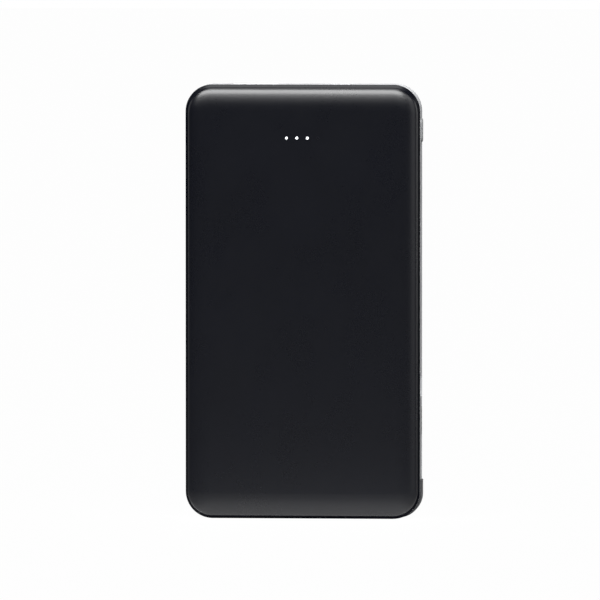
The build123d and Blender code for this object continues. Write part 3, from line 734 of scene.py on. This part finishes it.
class BuildStage(bpy.types.Operator):
    """Set the pale floor, the soft lights, the room and the camera"""

    bl_idname = "powerbank.build_stage"
    bl_label = "Stage"

    def execute(self, context):
        scene = context.scene
        stage = scene.power_bank_stage
        start_fresh()
        bpy.ops.mesh.primitive_plane_add(size=12, location=(0, 0, CAD_BOX[0].z - 0.00002))
        floor = bpy.context.object
        floor.name = "floor"
        w = Wiring("floor_white")
        # painted light: for reflections and bounced light the floor is a bright pool close to the object that
        # darkens away from it; the camera sees it evenly white
        sides = w.between(w.distance_from_axis("X"), "Value", 0.0, 2.5, 0.030, 1.030)
        away = w.combine(w.distance_from_axis("Y"), "Value", sides, "Result")
        reach = w.between(away, "Value", 0.0, 1.0, 0.0, 0.30)
        light_pool_stops = [(0.02, 0.92), (0.05, 0.72), (0.10, 0.42), (0.27, 0.24), (0.80, 0.12)]
        w.join(w.tones(reach, "Result", [(at, (v, v, v)) for at, v in light_pool_stops]), "Color", w.shader, "Base Color")
        w.set(Roughness=0.8, Specular_IOR_Level=0.1)
        bright = w.node("ShaderNodeEmission")
        ray = w.node("ShaderNodeLightPath")
        mix = w.node("ShaderNodeMixShader")
        share = w.between(ray, "Is Camera Ray", 0.0, 0.985)
        w.join(share, "Result", mix, "Fac")
        w.tree.links.new(w.shader.outputs["BSDF"], mix.inputs[1])
        w.tree.links.new(bright.outputs["Emission"], mix.inputs[2])
        w.join(mix, "Shader", w.output, "Surface")
        floor.data.materials.append(w.material)

        head = Vector((0, 0, CAD_BOX[1].z))
        for name, (azimuth, elevation, distance, size) in SOFT_BOXES.items():
            power = getattr(stage, name + "_light")
            self.soft_box(name + "_box", head, towards(azimuth, elevation) * distance, size, power)

        world = bpy.data.worlds.new("room")
        world.use_nodes = True
        tree = world.node_tree
        tree.nodes.clear()
        out = tree.nodes.new("ShaderNodeOutputWorld")
        mix = tree.nodes.new("ShaderNodeMixShader")
        ray = tree.nodes.new("ShaderNodeLightPath")
        seen = tree.nodes.new("ShaderNodeBackground")
        around = tree.nodes.new("ShaderNodeBackground")
        seen.inputs["Color"].default_value = (1, 1, 1, 1)
        seen.inputs["Strength"].default_value = 1.0
        around.inputs["Color"].default_value = (0.96, 0.98, 1.0, 1)
        around.inputs["Strength"].default_value = stage.ambient
        tree.links.new(ray.outputs["Is Camera Ray"], mix.inputs["Fac"])
        tree.links.new(around.outputs["Background"], mix.inputs[1])
        tree.links.new(seen.outputs["Background"], mix.inputs[2])
        tree.links.new(mix.outputs["Shader"], out.inputs["Surface"])
        scene.world = world

        low, high = CAD_BOX
        aim = Vector((0, 0, (low.z + high.z) / 2)) + AIM_OFFSET
        back = towards(stage.azimuth, stage.elevation)
        bpy.ops.object.camera_add(location=aim + back * stage.distance)
        camera = bpy.context.object
        camera.name = "camera"
        camera.rotation_euler = (-back).to_track_quat("-Z", "Y").to_euler()
        camera.data.sensor_width = 36
        camera.data.lens = camera.data.sensor_width * stage.distance / stage.view_width
        camera.data.clip_start = 0.05
        camera.data.clip_end = 50
        scene.camera = camera
        scene.view_settings.view_transform = "Standard"
        scene.view_settings.look = "None"
        return {"FINISHED"}

    def soft_box(self, name, target, offset, size, power):
        """Rectangular area light at this offset from its target, facing it."""
        bpy.ops.object.light_add(type="AREA", location=target + offset)
        lamp = bpy.context.object
        lamp.name = name
        lamp.data.shape = "RECTANGLE"
        lamp.data.size, lamp.data.size_y = size
        lamp.data.energy = power
        lamp.rotation_euler = (-offset).to_track_quat("-Z", "Y").to_euler()


class PowerBankPanel(bpy.types.Panel):
    """Lists the power bank's pieces and settings"""

    bl_idname = "VIEW3D_PT_power_bank"
    bl_label = "Power Bank"
    bl_space_type = "VIEW_3D"
    bl_region_type = "UI"
    bl_category = "Power Bank"

    def draw(self, context):
        layout = self.layout
        scene = context.scene
        for settings in (scene.power_bank_finish, scene.power_bank_lead, scene.power_bank_stage):
            box = layout.box()
            for name in settings.bl_rna.properties.keys():
                if name not in ("rna_type", "name"):
                    box.prop(settings, name)
        for operator in OPERATORS:
            layout.operator(operator.bl_idname)


SETTINGS = (PowerBankFinish, PowerBankLead, PowerBankStage)
OPERATORS = (
    PaintCovers, PaintFrame, PaintLights, PaintSockets, PaintInside, BuildNeck, BuildGrip, BuildStage,
)


def register():
    for made in (*SETTINGS, *OPERATORS, PowerBankPanel):
        bpy.utils.register_class(made)
    bpy.types.Scene.power_bank_finish = bpy.props.PointerProperty(type=PowerBankFinish)
    bpy.types.Scene.power_bank_lead = bpy.props.PointerProperty(type=PowerBankLead)
    bpy.types.Scene.power_bank_stage = bpy.props.PointerProperty(type=PowerBankStage)


def unregister():
    del bpy.types.Scene.power_bank_stage
    del bpy.types.Scene.power_bank_lead
    del bpy.types.Scene.power_bank_finish
    for made in reversed((*SETTINGS, *OPERATORS, PowerBankPanel)):
        bpy.utils.unregister_class(made)


def main():
    register()
    for operator in OPERATORS:
        group, name = operator.bl_idname.split(".")
        getattr(getattr(bpy.ops, group), name)()


if __name__ == "__main__":
    main()
